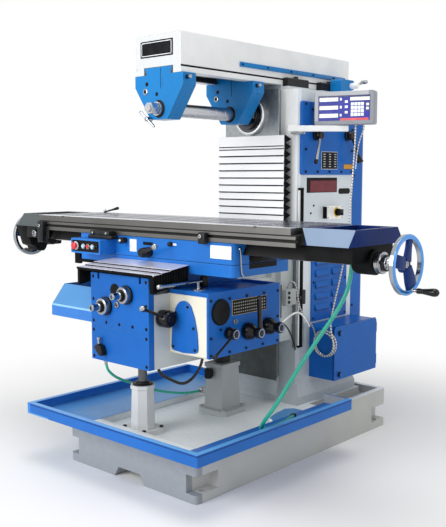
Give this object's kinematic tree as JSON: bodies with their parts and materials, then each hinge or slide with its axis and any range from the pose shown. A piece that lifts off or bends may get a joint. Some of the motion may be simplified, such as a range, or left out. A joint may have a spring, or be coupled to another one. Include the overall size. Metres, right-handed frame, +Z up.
{
  "type": "universal milling machine",
  "caption": "Horizontal knee-type milling machine with a swivelling T-slot table on saddle and knee, overarm, arbor supports and hand wheels.",
  "frame": {"origin": "centre of the base's underside, on the floor", "axes": "+X to the operator's right along the table, +Y to the back, +Z up"},
  "size_m": [2.516, 1.606, 1.923],
  "materials": {
    "blue_paint": "gloss enamel",
    "white_paint": "satin enamel",
    "grey_paint": "satin enamel",
    "ground_iron": "scraped and ground",
    "steel": "turned",
    "chrome": "polished",
    "black_plastic": "moulded",
    "red_plastic": "moulded",
    "pale_plastic": "moulded",
    "bellows": "folded",
    "hose": "smooth",
    "clear_tube": "smooth",
    "display_case": "moulded"
  },
  "bodies": {
    "frame": {"base": "blue_paint", "chip_tray": "blue_paint", "column": "white_paint", "rear_cover": "blue_paint", "gear_panel": "blue_paint", "switch_box": "white_paint", "vent_cover": "blue_paint", "tool_box": "blue_paint", "way_cover": "bellows", "front_post": "grey_paint", "rear_post": "grey_paint", "overarm_clamps": "black_plastic", "pinion_block": "blue_paint", "drip_tube": "clear_tube", "cable_coil": "clear_tube", "readout_cable": "clear_tube"},
    "knee": {"knee": "white_paint", "knee_plate": "blue_paint", "knee_cover": "bellows", "side_trough": "blue_paint", "support_shaft": "steel", "feed_box": "white_paint", "feed_cover": "blue_paint"},
    "saddle": {"saddle": "blue_paint"},
    "swivel": {"swivel_housing": "blue_paint", "control_box": "blue_paint"},
    "table": {"table": "ground_iron", "end_trough": "blue_paint", "bearing_right": "black_plastic", "bracket_left": "grey_paint", "coolant_hose": "hose"},
    "overarm": {"overarm": "white_paint"},
    "spindle": {"spindle": "steel", "arbor": "steel"},
    "elevating_screw": {"elevating_screw": "steel"},
    "lift_feed_shaft": {"lift_feed_shaft": "steel"},
    "cross_feed_shaft": {"cross_feed_shaft": "steel"},
    "lead_screw": {"lead_screw": "steel"},
    "handwheel_right": {"handwheel_right": "chrome"},
    "handwheel_left": {"handwheel_left": "chrome"},
    "arbor_support_front": {"arbor_support_front": "blue_paint"},
    "arbor_support_rear": {"arbor_support_rear": "blue_paint"},
    "pinion_crank": {"pinion_crank": "chrome"},
    "speed_lever_front": {"speed_lever_front": "chrome"},
    "speed_lever_back": {"speed_lever_back": "chrome"},
    "main_switch": {"main_switch": "black_plastic"},
    "tool_box_door": {"tool_box_door": "blue_paint"},
    "readout_arm": {"readout_arm": "steel"},
    "readout": {"readout": "display_case"},
    "feed_lever_front": {"feed_lever_front": "steel"},
    "feed_lever_middle": {"feed_lever_middle": "chrome"},
    "feed_knob_back": {"feed_knob_back": "chrome"},
    "side_lever": {"side_lever": "black_plastic"},
    "pump_handle": {"pump_handle": "black_plastic"},
    "saddle_clamp": {"saddle_clamp": "steel"},
    "table_trip_lever": {"table_trip_lever": "black_plastic"},
    "stop_button": {"stop_button": "red_plastic"},
    "button_left": {"button_left": "pale_plastic"},
    "button_middle": {"button_middle": "red_plastic"},
    "button_right": {"button_right": "pale_plastic"}
  },
  "joints": [
    {"name": "knee_lift", "type": "slide", "parent": "frame", "child": "knee", "axis": [0, 0, 1], "range_m": [0, 0.36], "deforming": ["way_cover", "drip_tube"]},
    {"name": "saddle_cross", "type": "slide", "parent": "knee", "child": "saddle", "axis": [0, 1, 0], "range_m": [0, 0.18], "deforming": ["knee_cover"]},
    {"name": "table_swivel", "type": "hinge", "parent": "saddle", "child": "swivel", "pos_m": [0, -0.4, 0.965], "axis": [0, 0, 1], "range_deg": [-20, 20]},
    {"name": "table_traverse", "type": "slide", "parent": "swivel", "child": "table", "axis": [1, 0, 0], "range_m": [-0.3, 0.3], "deforming": ["coolant_hose"]},
    {"name": "lead_screw_turn", "type": "hinge", "parent": "table", "child": "lead_screw", "pos_m": [0, -0.4, 1.002], "axis": [1, 0, 0], "continuous": true},
    {"name": "handwheel_right_turn", "type": "hinge", "parent": "table", "child": "handwheel_right", "pos_m": [1.142, -0.4, 1.002], "axis": [1, 0, 0], "continuous": true},
    {"name": "handwheel_left_turn", "type": "hinge", "parent": "table", "child": "handwheel_left", "pos_m": [-1.148, -0.4, 1.002], "axis": [1, 0, 0], "continuous": true},
    {"name": "elevating_screw_turn", "type": "hinge", "parent": "knee", "child": "elevating_screw", "pos_m": [0.046, -0.17, 0.5], "axis": [0, 0, 1], "continuous": true},
    {"name": "lift_shaft_turn", "type": "hinge", "parent": "knee", "child": "lift_feed_shaft", "pos_m": [-0.083, -0.8, 0.766], "axis": [0, 1, 0], "continuous": true},
    {"name": "cross_shaft_turn", "type": "hinge", "parent": "knee", "child": "cross_feed_shaft", "pos_m": [0.05, -0.8, 0.826], "axis": [0, 1, 0], "continuous": true},
    {"name": "spindle_turn", "type": "hinge", "parent": "frame", "child": "spindle", "pos_m": [0, 0.095, 1.607], "axis": [0, 1, 0], "continuous": true},
    {"name": "overarm_slide", "type": "slide", "parent": "frame", "child": "overarm", "axis": [0, 1, 0], "range_m": [-0.15, 0.02]},
    {"name": "pinion_crank_turn", "type": "hinge", "parent": "frame", "child": "pinion_crank", "pos_m": [0.24, 0.6, 1.776], "axis": [1, 0, 0], "range_deg": [-60, 300]},
    {"name": "front_support_slide", "type": "slide", "parent": "overarm", "child": "arbor_support_front", "axis": [0, 1, 0], "range_m": [0, 0.15]},
    {"name": "rear_support_slide", "type": "slide", "parent": "overarm", "child": "arbor_support_rear", "axis": [0, 1, 0], "range_m": [-0.2, 0]},
    {"name": "front_speed_lever", "type": "hinge", "parent": "frame", "child": "speed_lever_front", "pos_m": [0.262, 0.266, 1.514], "axis": [1, 0, 0], "range_deg": [-45, 45]},
    {"name": "back_speed_lever", "type": "hinge", "parent": "frame", "child": "speed_lever_back", "pos_m": [0.262, 0.539, 1.521], "axis": [1, 0, 0], "range_deg": [-45, 45]},
    {"name": "main_switch_turn", "type": "hinge", "parent": "frame", "child": "main_switch", "pos_m": [0.282, 0.43, 1.138], "axis": [1, 0, 0], "range_deg": [0, 90]},
    {"name": "tool_box_door_swing", "type": "hinge", "parent": "frame", "child": "tool_box_door", "pos_m": [0.402, 0.629, 0.457], "axis": [0, 0, 1], "range_deg": [0, 100]},
    {"name": "readout_arm_swing", "type": "hinge", "parent": "frame", "child": "readout_arm", "pos_m": [0.268, 0.14, 1.541], "axis": [0, 0, 1], "range_deg": [-25, 5], "deforming": ["readout_cable"]},
    {"name": "readout_turn", "type": "hinge", "parent": "readout_arm", "child": "readout", "pos_m": [0.42201, 0.27832, 1.556], "axis": [0, 0, 1], "range_deg": [-5, 55]},
    {"name": "front_feed_lever", "type": "hinge", "parent": "knee", "child": "feed_lever_front", "pos_m": [0.405, -0.535, 0.677], "axis": [1, 0, 0], "range_deg": [-40, 40]},
    {"name": "middle_feed_lever", "type": "hinge", "parent": "knee", "child": "feed_lever_middle", "pos_m": [0.405, -0.418, 0.67], "axis": [1, 0, 0], "range_deg": [-40, 40]},
    {"name": "back_feed_knob", "type": "hinge", "parent": "knee", "child": "feed_knob_back", "pos_m": [0.405, -0.284, 0.674], "axis": [1, 0, 0], "range_deg": [-135, 135]},
    {"name": "side_lever_turn", "type": "hinge", "parent": "knee", "child": "side_lever", "pos_m": [0.183, -0.7, 0.735], "axis": [1, 0, 0], "range_deg": [-15, 35]},
    {"name": "pump_handle_rock", "type": "hinge", "parent": "knee", "child": "pump_handle", "pos_m": [-0.112, -0.77, 0.572], "axis": [0, 1, 0], "range_deg": [-20, 20]},
    {"name": "saddle_clamp_turn", "type": "hinge", "parent": "knee", "child": "saddle_clamp", "pos_m": [0.262, -0.525, 0.88], "axis": [0, 0, 1], "range_deg": [0, 40]},
    {"name": "table_trip_turn", "type": "hinge", "parent": "swivel", "child": "table_trip_lever", "pos_m": [0, -0.592, 0.99], "axis": [0, 1, 0], "range_deg": [-25, 25]},
    {"name": "stop_button_push", "type": "slide", "parent": "swivel", "child": "stop_button", "axis": [0, 1, 0], "range_m": [0, 0.006], "stiffness_N_per_m": 600},
    {"name": "left_button_push", "type": "slide", "parent": "swivel", "child": "button_left", "axis": [0, 1, 0], "range_m": [0, 0.004], "stiffness_N_per_m": 600},
    {"name": "middle_button_push", "type": "slide", "parent": "swivel", "child": "button_middle", "axis": [0, 1, 0], "range_m": [0, 0.004], "stiffness_N_per_m": 600},
    {"name": "right_button_push", "type": "slide", "parent": "swivel", "child": "button_right", "axis": [0, 1, 0], "range_m": [0, 0.004], "stiffness_N_per_m": 600}
  ],
  "couplings": [
    {"joint": "lead_screw_turn", "follows": "table_traverse", "rad_per_m": 1047.2},
    {"joint": "cross_shaft_turn", "follows": "saddle_cross", "rad_per_m": 1047.2},
    {"joint": "elevating_screw_turn", "follows": "knee_lift", "rad_per_m": 628.32},
    {"joint": "lift_shaft_turn", "follows": "knee_lift", "rad_per_m": 3141.6},
    {"joint": "pinion_crank_turn", "follows": "overarm_slide", "rad_per_m": -29.412}
  ]
}
